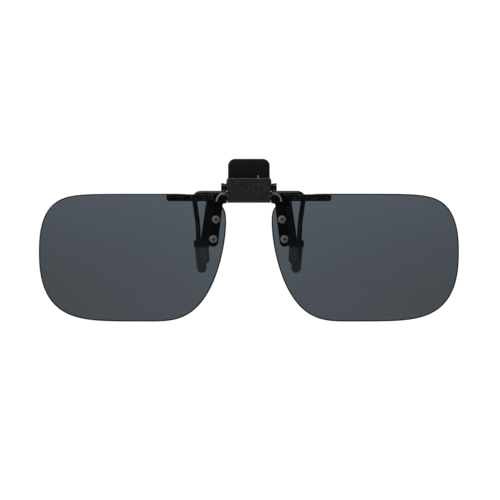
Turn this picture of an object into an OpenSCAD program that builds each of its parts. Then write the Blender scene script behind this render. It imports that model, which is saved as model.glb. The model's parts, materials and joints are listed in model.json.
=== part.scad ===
// Clip-on, flip-up sun lenses: a spring clamp with four rubber-tipped fingers,
// a flip axle with a click stop, and two lenses screwed to it by cranked brackets.
// Front of the object faces -Y, the wearer's left is +X, and up is +Z.
// y = 0 is the front surface of the spectacle lens that the clamp grips.

/* [Lens] */
// Distance between the temple edges of the two lenses
total_w = 130; // [126:0.2:136]
// Height of one lens
lens_h = 39.5; // [36:0.1:42]
// Thickness of one lens
lens_t = 1.0; // [0.8:0.1:1.2]
// Narrowest gap between the two lenses
nose_gap = 14; // [14:0.1:15]
// Radius of the lens's spherical front
lens_radius = 300; // [260:10:600]

/* [Clamp] */
// Width of the hinge housing
housing_w = 13.4; // [13:0.1:14]
// Height of the housing's front wall above the grip's centre
housing_top = 24.6; // [23.8:0.1:26]
// Thickness of the stamped plates
sheet_t = 0.8; // [0.6:0.1:1]
// Height of the thumb lever above the grip's centre
lever_top = 30.6; // [28:0.1:34]
// Width of the thumb lever's cap
lever_w = 12.9; // [12:0.1:13.6]
// Diameter of the rear finger wires
wire_d = 1.5; // [1.3:0.05:1.55]
// Gap between the closed rubber tips
tip_gap = 0.3; // [0.2:0.1:1]

/* [Hinges] */
// Height of the flip axle
flip_z = 18.7; // [18.5:0.1:19]
// Distance of the flip axle in front of the grip
flip_y = 5.7; // [5.5:0.1:6.5]
// Diameter of the flip axle
axle_d = 1.9; // [1.7:0.1:2]
// Diameter of the jaw's pivot pin
pin_d = 1.2; // [1:0.1:1.3]
// Radial clearance of every turning fit
run_gap = 0.05; // [0.02:0.01:0.1]

/* [Fasteners] */
// Diameter of a lens screw's head
head_d = 2.4; // [2.2:0.1:2.5]
// Diameter of a lens screw's shank
shank_d = 1.2; // [1:0.1:1.4]

/* [Hidden] */
$fn = 48;

// colours
BLACK = "#18181a";
GUNMETAL = "#3a3a3c";
STEEL = "#9a9a96";
RUBBER = "#26262a";
SMOKE = "#4c545c";

// length by which a cutter runs past the face that it cuts
past = 1;

// hinge and pivot places, as [y, z]
axle_at = [-flip_y, flip_z];
pin_at = [-flip_y + 0.4, flip_z + 3.15];
half_w = housing_w / 2;

// barrel of the housing, and the boss of each bracket that matches it
barrel_r = 1.75;
bore_r = axle_d / 2 + run_gap;
window_w = 8.8;      // opening over the axle's cam
cam_w = 5;           // length of the axle's squared middle
cam_across = 1.35;   // across the flats of the cam
side_gap = 0.2;      // between the housing's ends and the bracket bosses
boss_in = half_w + side_gap;
boss_out = boss_in + 1.3;
axle_end_d = 1.2;
axle_end = boss_out - 0.25;

// housing and clamp frame, in y
wall_front = axle_at[0] - barrel_r;
wall_back = wall_front + sheet_t;
web_front = axle_at[0] + barrel_r;
web_back = web_front + sheet_t;
pad_t = 0.75;         // thickness of the housing's pad behind the barrel
window_low = axle_at[1] + 0.3;
web_low = flip_z - 1.2;
web_top = pin_at[1] + 0.15;
ear_in = half_w - sheet_t;
ear_low = flip_z + 1.97;
ear_h = 2.4;

// pivot ears, lever cheeks and pin heads, in x
cheek_gap = 0.25;
cheek_in = half_w + cheek_gap;
cheek_out = cheek_in + 0.7;
head_out = 8.57;
head_gap = 0.1;
pin_head_d = 2.34;
eye_r = 1.05;
front_ear_r = 0.95;
ear_root = web_front + front_ear_r + 0.05; // clears the housing's barrel

// lever and its cap, in y
lever_front = pin_at[0] + 2.7;
lever_back = lever_front + 0.7;
cap_wall = 0.45;
cap_low = housing_top - 0.7;
cap_corner = 2.2;
plate_corner = 1.8;
foot_h = 1.6;
shoulder_z = housing_top - 0.4;

// front ears and legs; each leg is a flat stamping, in the XZ plane
front_y = -1.05;
front_arm_z = flip_z + 0.2;
leg_t = 1;
leg_front = front_y - leg_t / 2;
leg_back = front_y + leg_t / 2;
leg_arm_h = 2;
leg_shoulder = [11.55, 18.38];
leg_shoulder_r = 1.5;
LEG = [[13.04, 18.4], [10.7, 18], [12, 6.2], [12.7, 5.3], [14.8, 5.3], [14.95, 5.8]];
TANG = [[13.2, 1.5], [14.7, 5.5]];

// rear finger wires, as [x, y, z]
wire_r = wire_d / 2;
bore_past = 0.5;      // run of the tip's bore past the bend, as a share of the wire's end
arm_y = 4.6;
tip_t = 2.1;
rear_tip_t = 2.4;
rear_y = tip_gap + rear_tip_t / 2;
rear_arm_z = flip_z + 1.4;
REAR_ROUTE = [
    [cheek_in - 0.3, arm_y, rear_arm_z], [17.2, arm_y, rear_arm_z],
    [15.9, arm_y, 10.8], [15.6, rear_y, 5.2], [14.8, rear_y, -2]
];
WIRE_BEND = 1.9;
joint_swell = 1.02;  // the weld between a straight and a bend, as a share of the wire

// rubber tips in the XZ plane: top centre, bottom centre, half width, height of the top
FRONT_TIP = [[14.1, 3.9], [13.7, -0.45], 1.5, 5.3];
REAR_TIP = [[15.5, 3.9], [14.6, -3.15], 1.5, 5.4];

// bracket, in the XZ plane
bracket_back = axle_at[0] + sheet_t / 2;
bracket_front = bracket_back - sheet_t;
SCREWS = [[10.17, 11.84], [10.94, 5.76]];
STRIP = [[9.7, 16], [11.02, 5]];
strip_r = 1.58;
elbow_at = [half_w + 0.2, flip_z - 1.5];
elbow_r = 3.35;
elbow_quarter = [4, 5]; // covers the quarter of the circle that is kept
elbow_low = elbow_at[1] - 0.6;
knuckle_lap = 0.2;    // overlap of the knuckle's front and rear parts
bar_in = 10.6;
bar_out = 25.4;
bar_low = 17.45;
bar_high = 19.6;
bar_corner = 0.9;
neck_at = [9.3, 15.6]; // block that joins the strip to the bar
neck_w = 3.5;
neck_top = bar_low + 0.6;

// lens stack behind the bracket, in y
washer_t = 0.3;
washer_d = 2.6;
nut_t = 0.8;
lens_front = bracket_back + washer_t;
lens_back = lens_front + lens_t;
lens_crown = [18, 12];
lens_bow = 12;        // more than the depth that the lens's curve reaches back
lens_hole_d = shank_d + 0.2;
// flat seats sunk into the lens for the washers
seat_d = washer_d + 0.2;
seat_front = lens_front + 0.2;
seat_back = lens_back + 0.04;
nut_front = seat_back + washer_t;
nut_back = nut_front + nut_t;

// lens outline: edges, the heights and places where each edge is at its furthest,
// and the exponents [across, up] of the four superellipse quarters
lens_in = nose_gap / 2;
lens_out = total_w / 2;
lens_high = lens_h / 2 + 0.05;
lens_low = lens_high - lens_h;
NOSE_Z = 10.5;
TEMPLE_Z = 2;
CREST_X = 23.1;
TROUGH_X = 31.1;
TOP_TEMPLE = [8.9, 2.3];
TOP_NOSE = [2, 3.6];
LOW_NOSE = [3.2, 1.6];
LOW_TEMPLE = [4.6, 2.5];
quarter_steps = 24;

// extrusions along Y and along X of an outline drawn in XZ and in YZ
module along_y(y0, y1) {
    translate([0, y1, 0]) rotate([90, 0, 0]) linear_extrude(y1 - y0) children();
}
module along_x(x0, x1) {
    translate([x0, 0, 0]) rotate([90, 0, 90]) linear_extrude(x1 - x0) children();
}
module rod_x(x0, x1, at, r) {
    along_x(x0, x1) translate(at) circle(r);
}
module rod_y(y0, y1, at, r) {
    along_y(y0, y1) translate(at) circle(r);
}
module both_sides() {
    children();
    mirror([1, 0, 0]) children();
}

// bar with round ends of one radius, drawn between two points of a plane
// its sides are drawn a little inside the ends, so that they cut them cleanly
side_share = 0.998;
module round_bar(p, q, r) {
    d = q - p;
    across = [-d[1], d[0]] / norm(d) * r * side_share;
    translate(p) circle(r);
    translate(q) circle(r);
    polygon([p + across, p - across, q - across, q + across]);
}

// wire along a route, straight between its points and bent to a radius at each corner
function unit(v) = v / norm(v);
function turn(a, b, c) = acos(unit(b - a) * unit(c - b));
function setback(a, b, c, bend) = bend * tan(turn(a, b, c) / 2);
module straight(p, q, r) {
    d = q - p;
    translate(p)
        rotate([0, acos(d[2] / norm(d)), atan2(d[1], d[0])])
            cylinder(h = norm(d), r = r);
}
module bend_at(a, b, c, bend, r) {
    u = unit(b - a);
    v = unit(c - b);
    n = unit(cross(u, v));
    side = cross(n, u);
    centre = b - u * setback(a, b, c, bend) + side * bend;
    frame = [
        [-side[0], u[0], n[0], centre[0]],
        [-side[1], u[1], n[1], centre[1]],
        [-side[2], u[2], n[2], centre[2]],
        [0, 0, 0, 1]
    ];
    multmatrix(frame)
        rotate_extrude(angle = turn(a, b, c))
            translate([bend, 0]) circle(r);
}
module wire(route, bend, r) {
    last = len(route) - 1;
    for (i = [0 : last - 1]) {
        u = unit(route[i + 1] - route[i]);
        cut_in = i == 0 ? 0 : setback(route[i - 1], route[i], route[i + 1], bend);
        cut_out = i == last - 1 ? 0 : setback(route[i], route[i + 1], route[i + 2], bend);
        straight(route[i] + u * cut_in, route[i + 1] - u * cut_out, r);
    }
    for (i = [1 : last - 1]) {
        bend_at(route[i - 1], route[i], route[i + 1], bend, r);
        back = setback(route[i - 1], route[i], route[i + 1], bend);
        for (next = [route[i - 1], route[i + 1]])
            translate(route[i] + unit(next - route[i]) * back) sphere(r * joint_swell);
    }
}

// round wire swept through points, as a closed mesh with flat ends
swept_side = [0.13, 1, 0.31]; // any direction that the wire never runs in
module swept(path, r, sides) {
    count = len(path);
    rings = [
        for (i = [0 : count - 1])
            let (t = unit(path[min(i + 1, count - 1)] - path[max(i - 1, 0)]),
                 e = unit(cross(t, swept_side)),
                 f = cross(t, e))
                for (k = [0 : sides - 1])
                    path[i] + r * (e * cos(360 * k / sides) + f * sin(360 * k / sides))
    ];
    walls = [
        for (i = [0 : count - 2]) for (k = [0 : sides - 1])
            let (n = (k + 1) % sides)
                [i * sides + k, i * sides + n, (i + 1) * sides + n, (i + 1) * sides + k]
    ];
    first_end = [for (k = [sides - 1 : -1 : 0]) k];
    last_end = [for (k = [0 : sides - 1]) (count - 1) * sides + k];
    polyhedron(rings, concat(walls, [first_end, last_end]));
}

// one superellipse quarter about c, out to a across and b up, from angle t0 to t1
function power(x, n) = pow(max(x, 0), 2 / n);
function quarter(c, a, b, n, t0, t1) = [
    for (i = [0 : quarter_steps - 1])
        let (t = t0 + (t1 - t0) * i / quarter_steps)
            c + [a * power(cos(t), n[0]), b * power(sin(t), n[1])]
];
module lens_outline() {
    polygon(concat(
        quarter([CREST_X, TEMPLE_Z], lens_out - CREST_X, lens_high - TEMPLE_Z, TOP_TEMPLE, 0, 90),
        quarter([CREST_X, NOSE_Z], lens_in - CREST_X, lens_high - NOSE_Z, TOP_NOSE, 90, 0),
        quarter([TROUGH_X, NOSE_Z], lens_in - TROUGH_X, lens_low - NOSE_Z, LOW_NOSE, 0, 90),
        quarter([TROUGH_X, TEMPLE_Z], lens_out - TROUGH_X, lens_low - TEMPLE_Z, LOW_TEMPLE, 90, 0)
    ));
}
module lens_ball(inset) {
    translate([lens_crown[0], lens_front + lens_radius, lens_crown[1]])
        rotate([90, 0, 0]) sphere(lens_radius - inset, $fn = 360);
}
module lens() {
    difference() {
        intersection() {
            along_y(lens_front - past, lens_front + lens_bow) lens_outline();
            lens_ball(0);
        }
        lens_ball(lens_t);
        for (s = SCREWS) {
            rod_y(lens_front - past, lens_back + 2 * past, s, lens_hole_d / 2);
            rod_y(lens_front - past, seat_front, s, seat_d / 2);
            rod_y(seat_back, lens_back + 2 * past, s, seat_d / 2);
        }
    }
}

// rolled housing: front wall, barrel round the axle and a pad that takes the clamp frame
module hinge_housing() {
    color(GUNMETAL) difference() {
        along_x(-half_w, half_w) difference() {
            union() {
                translate(axle_at) circle(barrel_r);
                translate([wall_front, axle_at[1]]) square([sheet_t, housing_top - axle_at[1]]);
                translate([web_front - pad_t, axle_at[1]]) square([pad_t, barrel_r]);
            }
            translate(axle_at) circle(bore_r);
        }
        translate([-window_w / 2, wall_back, window_low])
            cube([window_w, web_front - pad_t - wall_back, barrel_r]);
    }
}

// stamped frame behind the housing: web, two ears for the pin and two for the front legs
module clamp_frame() {
    color(BLACK) {
        along_x(-half_w, half_w)
            translate([web_front, web_low]) square([sheet_t, web_top - web_low]);
        both_sides() difference() {
            along_x(ear_in, half_w) {
                translate([wall_back, ear_low]) square([web_front - wall_back, ear_h]);
                round_bar([ear_root, front_arm_z], [front_y, front_arm_z], front_ear_r);
            }
            rod_x(ear_in - past, half_w + past, pin_at, pin_d / 2);
        }
    }
}

// pivot pin with a head riveted up at each end
module pivot_pin() {
    color(BLACK) {
        rod_x(-head_out, head_out, pin_at, pin_d / 2);
        both_sides() rod_x(cheek_out + head_gap, head_out, pin_at, pin_head_d / 2);
    }
}

// torsion spring: a coil on the pin, one leg up the front wall and one against the lever
coil_r = 1;
coil_wire_r = 0.17;
coil_turns = 8;
coil_from = -3.6;
coil_to = 2.9;
coil_steps = 14;
lever_leg_end = [lever_front - cap_wall - coil_wire_r, 25.4];
wall_leg_end = [wall_back + coil_wire_r, 24.2];
// angle on the coil where a tangent leaves for a point, on the side s of the line to it
function tangent_angle(to, s) =
    let (d = to - pin_at) atan2(d[1], d[0]) - s * acos(coil_r / norm(d));
function coil_point(x, a) = [x, pin_at[0] + coil_r * cos(a), pin_at[1] + coil_r * sin(a)];
module torsion_spring() {
    a1 = tangent_angle(lever_leg_end, 1);
    a0 = tangent_angle(wall_leg_end, -1) - 360 * (coil_turns - 1);
    steps = coil_steps * coil_turns;
    coil = [
        for (i = [0 : steps])
            coil_point(coil_from + (coil_to - coil_from) * i / steps, a0 + (a1 - a0) * i / steps)
    ];
    color(STEEL) swept(concat(
        [[coil_from, wall_leg_end[0], wall_leg_end[1]]],
        coil,
        [[coil_to, lever_leg_end[0], lever_leg_end[1]]]
    ), coil_wire_r, 8);
}

// leaf spring that presses on the cam, hooked under the frame's ears
leaf_t = 0.18;
leaf_half = 0.7;      // half its width
leaf_flat = 1.6;      // half the stretch on the cam
leaf_shoulder = 4;    // where it meets the ears' level
leaf_end = half_w - 0.1;
module detent_spring() {
    low = axle_at[1] + cam_across / 2;
    high = ear_low - leaf_t;
    line = [[0, low], [leaf_flat, low], [leaf_shoulder, high], [leaf_end, high]];
    flip = [for (i = [3 : -1 : 1]) [-line[i][0], line[i][1]]];
    path = concat(flip, line);
    lifted = [for (i = [6 : -1 : 0]) path[i] + [0, leaf_t]];
    color(STEEL) along_y(axle_at[0] - leaf_half, axle_at[0] + leaf_half)
        polygon(concat(path, lifted));
}

// front leg: an arm from the frame's ear, a wide blade, and a tang inside the rubber tip
module tang() {
    translate(TANG[0]) square(TANG[1] - TANG[0]);
}
module front_leg(side) {
    color(BLACK) scale_side(side) along_y(leg_front, leg_back) {
        translate([half_w, front_arm_z - leg_arm_h / 2])
            square([leg_shoulder[0] - half_w, leg_arm_h]);
        translate(leg_shoulder) circle(leg_shoulder_r);
        polygon(LEG);
        tang();
    }
}
module rear_wire(side) {
    color(BLACK) scale_side(side) wire(REAR_ROUTE, WIRE_BEND, wire_r);
}
// a piece drawn on the wearer's left, or its mirror image on the right
module scale_side(side) {
    if (side > 0) children();
    else mirror([1, 0, 0]) children();
}

// rubber tip with a flat top, a round bottom and a blind hole for its leg or wire
module rubber_tip(tip, y0, y1) {
    along_y(y0, y1) {
        round_bar(tip[0], tip[1], tip[2]);
        translate([tip[0][0] - tip[2], tip[0][1]]) square([2 * tip[2], tip[3] - tip[0][1]]);
    }
}
module front_tip(side) {
    color(RUBBER) scale_side(side) difference() {
        rubber_tip(FRONT_TIP, -tip_t, 0);
        along_y(leg_front, leg_back) tang();
    }
}
module rear_tip(side) {
    from = REAR_ROUTE[3];
    to = REAR_ROUTE[4];
    color(RUBBER) scale_side(side) difference() {
        rubber_tip(REAR_TIP, tip_gap, tip_gap + rear_tip_t);
        straight(to, from + bore_past * (from - to), wire_r);
    }
}

// thumb lever: a plate that widens at its foot into two cheeks, which swing on the pin
plate_half = lever_w / 2 - cap_wall;
foot_low = pin_at[1] - 0.95;
module thumb_lever() {
    color(BLACK) {
        along_y(lever_front, lever_back) {
            translate([-cheek_out, foot_low]) square([2 * cheek_out, foot_h]);
            translate([-cheek_in, foot_low]) square([2 * cheek_in, shoulder_z - foot_low]);
            plate_outline(plate_half, lever_top - cap_wall, foot_low + foot_h / 2, plate_corner);
        }
        both_sides() difference() {
            along_x(cheek_in, cheek_out)
                round_bar(pin_at, [arm_y, rear_arm_z], eye_r);
            rod_x(cheek_in - past, cheek_out + past, pin_at, pin_d / 2 + run_gap);
            rod_x(cheek_in - past, cheek_out + past, [arm_y, rear_arm_z], wire_r);
        }
    }
}
// upright plate with round top corners
module plate_outline(half, top, low, corner) {
    for (s = [1, -1]) translate([s * (half - corner), top - corner]) circle(corner);
    translate([-half, low]) square([2 * half, top - corner - low]);
    translate([corner - half, low]) square([2 * (half - corner), top - low]);
}

// moulded sleeve over the lever's plate
module lever_cap() {
    color(RUBBER) difference() {
        along_y(lever_front - cap_wall, lever_back + cap_wall)
            plate_outline(lever_w / 2, lever_top, cap_low, cap_corner);
        along_y(lever_front, lever_back)
            plate_outline(plate_half, lever_top - cap_wall, cap_low - past, plate_corner);
        along_y(lever_front, lever_back)
            translate([-cheek_in, cap_low - past]) square([2 * cheek_in, shoulder_z - cap_low + past]);
    }
}

// flip axle: a squared cam in the middle and thinner ends pressed into the brackets
module hinge_axle() {
    color(STEEL) {
        rod_x(-axle_end, axle_end, axle_at, axle_end_d / 2);
        both_sides() rod_x(cam_w / 2, boss_in, axle_at, axle_d / 2);
        along_x(-cam_w / 2, cam_w / 2) intersection() {
            translate(axle_at) circle(axle_d / 2);
            translate(axle_at) square(cam_across, center = true);
        }
    }
}

// quarter disc of the bracket's elbow
module elbow() {
    intersection() {
        translate(elbow_at) circle(elbow_r);
        translate([boss_in, elbow_low]) square(elbow_quarter);
    }
}
// round knuckle that carries the housing's barrel on into the elbow
module knuckle() {
    intersection() {
        rod_x(boss_in, boss_in + elbow_quarter[0], axle_at, barrel_r);
        along_y(wall_front - past, bracket_back) elbow();
    }
    intersection() {
        rod_x(boss_in, boss_out, axle_at, barrel_r);
        along_y(bracket_back - knuckle_lap, web_front + past) elbow();
    }
}

// bracket: knuckle on the axle, elbow, screw strip, and a bar along the lens's top edge
module bracket() {
    difference() {
        union() {
            along_y(bracket_front, bracket_back) {
                elbow();
                round_bar(STRIP[0], STRIP[1], strip_r);
                translate([bar_in, bar_low])
                    square([bar_out - bar_corner - bar_in, bar_high - bar_low]);
                translate([bar_out - bar_corner, bar_low + bar_corner]) circle(bar_corner);
                translate([bar_out - bar_corner, bar_low + bar_corner])
                    square([bar_corner, bar_high - bar_low - bar_corner]);
                translate(neck_at) square([neck_w, neck_top - neck_at[1]]);
            }
            knuckle();
        }
        for (s = SCREWS) rod_y(bracket_front - past, bracket_back + past, s, shank_d / 2);
        rod_x(boss_in - past, axle_end, axle_at, axle_end_d / 2);
    }
}
module lens_bracket(side) {
    color(BLACK) scale_side(side) bracket();
}

// screw with a domed, cross-slotted head
head_t = 0.6;
dome_r = 1.8;
slot = [1.5, 0.5, 0.3]; // one bar of the cross: length, twice its depth, width
module screw(at) {
    difference() {
        intersection() {
            rod_y(bracket_front - head_t, bracket_front, at, head_d / 2);
            translate([at[0], bracket_front - head_t + dome_r, at[1]]) sphere(dome_r);
        }
        translate([at[0], bracket_front - head_t, at[1]])
            for (a = [45, 135]) rotate([0, a, 0]) cube(slot, center = true);
    }
    rod_y(bracket_front - head_t / 4, nut_back, at, shank_d / 2);
}
module on_every_screw() {
    both_sides() for (s = SCREWS) translate([s[0], 0, s[1]]) children();
}
module lens_screws() {
    color(STEEL) on_every_screw() screw([0, 0]);
}
module ring(y0, y1, outer_d, inner_d) {
    along_y(y0, y1) difference() {
        circle(outer_d / 2);
        circle(inner_d / 2);
    }
}
module lens_nuts() {
    color(STEEL) on_every_screw() ring(nut_front, nut_back, head_d, shank_d);
}
module front_washers() {
    color(RUBBER) on_every_screw() ring(bracket_back, seat_front, washer_d, shank_d);
}
module rear_washers() {
    color(RUBBER) on_every_screw() ring(seat_back, nut_front, washer_d, shank_d);
}

hinge_housing();
clamp_frame();
pivot_pin();
torsion_spring();
detent_spring();
front_leg(1);  // front_leg_left
front_leg(-1);  // front_leg_right
front_tip(1);  // front_tip_left
front_tip(-1);  // front_tip_right
thumb_lever();
lever_cap();
rear_wire(1);  // rear_wire_left
rear_wire(-1);  // rear_wire_right
rear_tip(1);  // rear_tip_left
rear_tip(-1);  // rear_tip_right
hinge_axle();
lens_bracket(1);  // lens_bracket_left
lens_bracket(-1);  // lens_bracket_right
scale_side(1) color(SMOKE) lens();  // lens_left
scale_side(-1) color(SMOKE) lens();  // lens_right
lens_screws();
lens_nuts();
front_washers();
rear_washers();
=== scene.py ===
import json
import math

import bmesh
import bpy
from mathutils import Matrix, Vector


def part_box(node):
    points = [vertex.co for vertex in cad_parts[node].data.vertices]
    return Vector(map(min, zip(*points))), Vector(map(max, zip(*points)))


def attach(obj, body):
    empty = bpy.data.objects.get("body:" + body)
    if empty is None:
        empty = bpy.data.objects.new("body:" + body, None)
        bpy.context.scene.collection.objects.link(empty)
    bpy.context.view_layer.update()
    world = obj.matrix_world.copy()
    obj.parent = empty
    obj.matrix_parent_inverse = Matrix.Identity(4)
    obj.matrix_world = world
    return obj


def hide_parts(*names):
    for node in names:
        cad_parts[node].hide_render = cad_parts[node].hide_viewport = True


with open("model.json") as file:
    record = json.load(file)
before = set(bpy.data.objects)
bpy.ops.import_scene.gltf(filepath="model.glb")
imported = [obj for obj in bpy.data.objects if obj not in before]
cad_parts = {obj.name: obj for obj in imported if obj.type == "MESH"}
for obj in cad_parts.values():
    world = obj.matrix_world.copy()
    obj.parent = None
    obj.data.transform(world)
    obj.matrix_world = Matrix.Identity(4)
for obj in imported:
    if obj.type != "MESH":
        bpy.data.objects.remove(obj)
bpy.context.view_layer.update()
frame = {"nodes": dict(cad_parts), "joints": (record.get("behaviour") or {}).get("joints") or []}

# Lengths are in mm until mesh_of. The camera, the lamps and the floor are in metres.
MM = 0.001


# ---------------------------------------------------------------- places taken from the frame
def joint_at(name):
    """(y, z) of a joint's axis, in mm."""
    joint = next(j for j in frame["joints"] if j["name"] == name)
    return joint["pos_m"][1] / MM, joint["pos_m"][2] / MM


def box(node):
    """Lowest and highest corner of a CAD node, in mm."""
    low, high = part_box(node)
    return low / MM, high / MM


AXLE = joint_at("lens_flip")
PIN = joint_at("jaw_open")
SIDES = {"left": 1, "right": -1}


# ---------------------------------------------------------------- outlines, in mm
def unit(a, b):
    """Unit vector from a to b."""
    return (Vector(b) - Vector(a)).normalized()


def arc(centre, radius, start, end, steps):
    """Points on a circle between two angles in degrees, both ends included."""
    turns = [math.radians(start + (end - start) * i / steps) for i in range(steps + 1)]
    return [(centre[0] + radius * math.cos(t), centre[1] + radius * math.sin(t)) for t in turns]


def circle(centre, radius, steps=48):
    """Points once round a circle, anticlockwise."""
    return arc(centre, radius, 0, 360, steps)[:-1]


def hole(centre, radius, steps=48):
    """A circle that runs clockwise, for a hole in a plate."""
    return circle(centre, radius, steps)[::-1]


def rounded(corners, steps=6):
    """Closed outline from (x, y, radius) corners, each replaced by an arc of its radius."""
    loop = []
    for i, (x, y, radius) in enumerate(corners):
        here = Vector((x, y))
        before = Vector(corners[i - 1][:2])
        after = Vector(corners[(i + 1) % len(corners)][:2])
        if radius == 0:
            loop.append(here)
            continue
        u, v = unit(here, before), unit(here, after)
        half = u.angle(v) / 2
        reach = radius / math.tan(half)
        centre = here + (u + v).normalized() * (radius / math.sin(half))
        first, last = here + u * reach - centre, here + v * reach - centre
        swing = first.angle_signed(last)
        for k in range(steps + 1):
            a = -swing * k / steps
            turned = Vector((first.x * math.cos(a) - first.y * math.sin(a),
                             first.x * math.sin(a) + first.y * math.cos(a)))
            loop.append(centre + turned)
    return [tuple(p) for p in loop]


def inset(loop, distance):
    """Moves each point into the material: to the left of the way the outline runs."""
    moved = []
    for i, point in enumerate(loop):
        u = unit(loop[i - 1], point)
        v = unit(point, loop[(i + 1) % len(loop)])
        a, b = Vector((-u.y, u.x)), Vector((-v.y, v.x))
        shift = (a + b) * (distance / max(1 + a.dot(b), 0.35))
        moved.append((point[0] + shift.x, point[1] + shift.y))
    return moved


# ---------------------------------------------------------------- solids, in mm
def along_x(u, v, w):
    """An outline in (y, z), with its depth along x."""
    return Vector((w, u, v))


def along_y(u, v, w):
    """An outline in (x, z), with its depth along y."""
    return Vector((u, w, v))


def along_z(u, v, w):
    """An outline in (x, y), with its depth along z."""
    return Vector((u, v, w))


def quarter_turn(steps):
    """Angles from 0 to a right angle, in radians."""
    return [math.radians(90 * k / steps) for k in range(steps + 1)]


def bridge(bm, rings, slot=0):
    """Skins a stack of closed rings of equal length."""
    for a, b in zip(rings, rings[1:]):
        for i in range(len(a)):
            j = (i + 1) % len(a)
            bm.faces.new((a[i], a[j], b[j], b[i])).material_index = slot


def round_edge(edge, steps):
    """(depth, inset) pairs from a face to the side of a plate, over a round edge."""
    return [(edge * (1 - math.cos(a)), edge * (1 - math.sin(a))) for a in quarter_turn(steps)]


def plate(bm, loops, low, high, place, edge, slot=0, steps=4):
    """Flat plate between two depths, with round edges. The first loop is the outside."""
    rise = round_edge(edge, steps)
    levels = [(low + depth, back) for depth, back in rise]
    levels += [(high - depth, back) for depth, back in reversed(rise)]
    caps = ([], [])
    for loop in loops:
        rings = [[bm.verts.new(place(u, v, depth)) for u, v in inset(loop, back)]
                 for depth, back in levels]
        bridge(bm, rings, slot)
        for cap, ring in zip(caps, (rings[0], rings[-1])):
            cap += [bm.edges.get((ring[i - 1], ring[i])) for i in range(len(ring))]
    for cap in caps:
        for made in bmesh.ops.triangle_fill(bm, use_beauty=True, edges=cap)["geom"]:
            if isinstance(made, bmesh.types.BMFace):
                made.material_index = slot


def lathe(bm, profile, centre, place, sides=48):
    """Turned solid from (along, radius) pairs. The ends close where the radius is 0."""
    rings = []
    for depth, radius in profile:
        if radius == 0:
            rings.append([bm.verts.new(place(centre[0], centre[1], depth))])
        else:
            ring = circle(centre, radius, sides)
            rings.append([bm.verts.new(place(u, v, depth)) for u, v in ring])
    for a, b in zip(rings, rings[1:]):
        if len(a) > 1 and len(b) > 1:
            bridge(bm, [a, b])
            continue
        tip, ring = (a[0], b) if len(a) == 1 else (b[0], a)
        for i in range(len(ring)):
            bm.faces.new((tip, ring[i - 1], ring[i]))


def turned(low, high, radius, edge, steps=4):
    """Profile of a plain turned pin with round edges."""
    corner = round_edge(edge, steps)
    rise = [(low + depth, radius - back) for depth, back in corner]
    fall = [(high - depth, radius - back) for depth, back in reversed(corner)]
    return [(low, 0)] + rise + fall + [(high, 0)]


def bent(route, bend, steps=10):
    """A route with each corner turned into an arc of the bend radius."""
    points = [Vector(p) for p in route]
    path = [points[0]]
    for before, here, after in zip(points, points[1:], points[2:]):
        u, v = unit(here, before), unit(here, after)
        half = u.angle(v) / 2
        centre = here + (u + v).normalized() * (bend / math.sin(half))
        reach = bend / math.tan(half)
        first = here + u * reach - centre
        swing = math.pi - 2 * half
        for k in range(steps + 1):
            a = swing * k / steps
            path.append(centre + first * math.cos(a) - u * (bend * math.sin(a)))
    return path + [points[-1]]


def wire_stations(path, radius, steps=5):
    """(point, radius, way) along a wire, with a round end at each end of the path."""
    first, last = unit(path[0], path[1]), unit(path[-2], path[-1])
    ends = [(radius * (1 - math.cos(a)), radius * math.sin(a)) for a in quarter_turn(steps)[1:-1]]
    stations = [(path[0] + first * back, r, first) for back, r in ends]
    stations.append((path[0] + first * radius, radius, first))
    middle = [stations[-1][0]] + path[1:-1] + [path[-1] - last * radius]
    stations += [(here, radius, unit(before, after))
                 for before, here, after in zip(middle, middle[1:], middle[2:])]
    stations.append((middle[-1], radius, last))
    return stations + [(path[-1] - last * back, r, last) for back, r in reversed(ends)]


def sweep(bm, path, radius, sides):
    """Round wire along a path, with round ends."""
    side = unit(path[0], path[1]).orthogonal().normalized()
    turns = [2 * math.pi * k / sides for k in range(sides)]
    rings = []
    for point, r, way in wire_stations(path, radius):
        side = (side - way * side.dot(way)).normalized()
        other = way.cross(side)
        rings.append([bm.verts.new(point + side * (r * math.cos(a)) + other * (r * math.sin(a)))
                      for a in turns])
    bridge(bm, rings)
    for point, ring in ((path[0], rings[0]), (path[-1], rings[-1])):
        tip = bm.verts.new(point)
        for i in range(sides):
            bm.faces.new((tip, ring[i - 1], ring[i]))


def mesh_of(name, bm, side=1):
    """Mesh in metres from a bmesh in mm, mirrored for the wearer's right."""
    for vert in bm.verts:
        vert.co = Vector((vert.co.x * side, vert.co.y, vert.co.z)) * MM
    bmesh.ops.recalc_face_normals(bm, faces=bm.faces)
    for face in bm.faces:
        face.smooth = True
    mesh = bpy.data.meshes.new(name)
    bm.to_mesh(mesh)
    bm.free()
    return mesh


def cut(obj, cutter, lining=None):
    """Cuts a bmesh in mm out of a piece, whose new walls take the lining's material."""
    tool = bpy.data.objects.new("cutter", mesh_of("cutter", cutter))
    if lining:
        tool.data.materials.append(lining)
    bpy.context.scene.collection.objects.link(tool)
    boolean = obj.modifiers.new("cut", "BOOLEAN")
    boolean.operation = "DIFFERENCE"
    boolean.solver = "EXACT"
    boolean.material_mode = "TRANSFER" if lining else "INDEX"
    boolean.object = tool
    bpy.context.view_layer.update()
    shaped = obj.evaluated_get(bpy.context.evaluated_depsgraph_get())
    result = bpy.data.meshes.new_from_object(shaped)
    obj.modifiers.clear()
    old, obj.data = obj.data, result
    result.name = old.name
    bpy.data.meshes.remove(old)
    bpy.data.objects.remove(tool)


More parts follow.
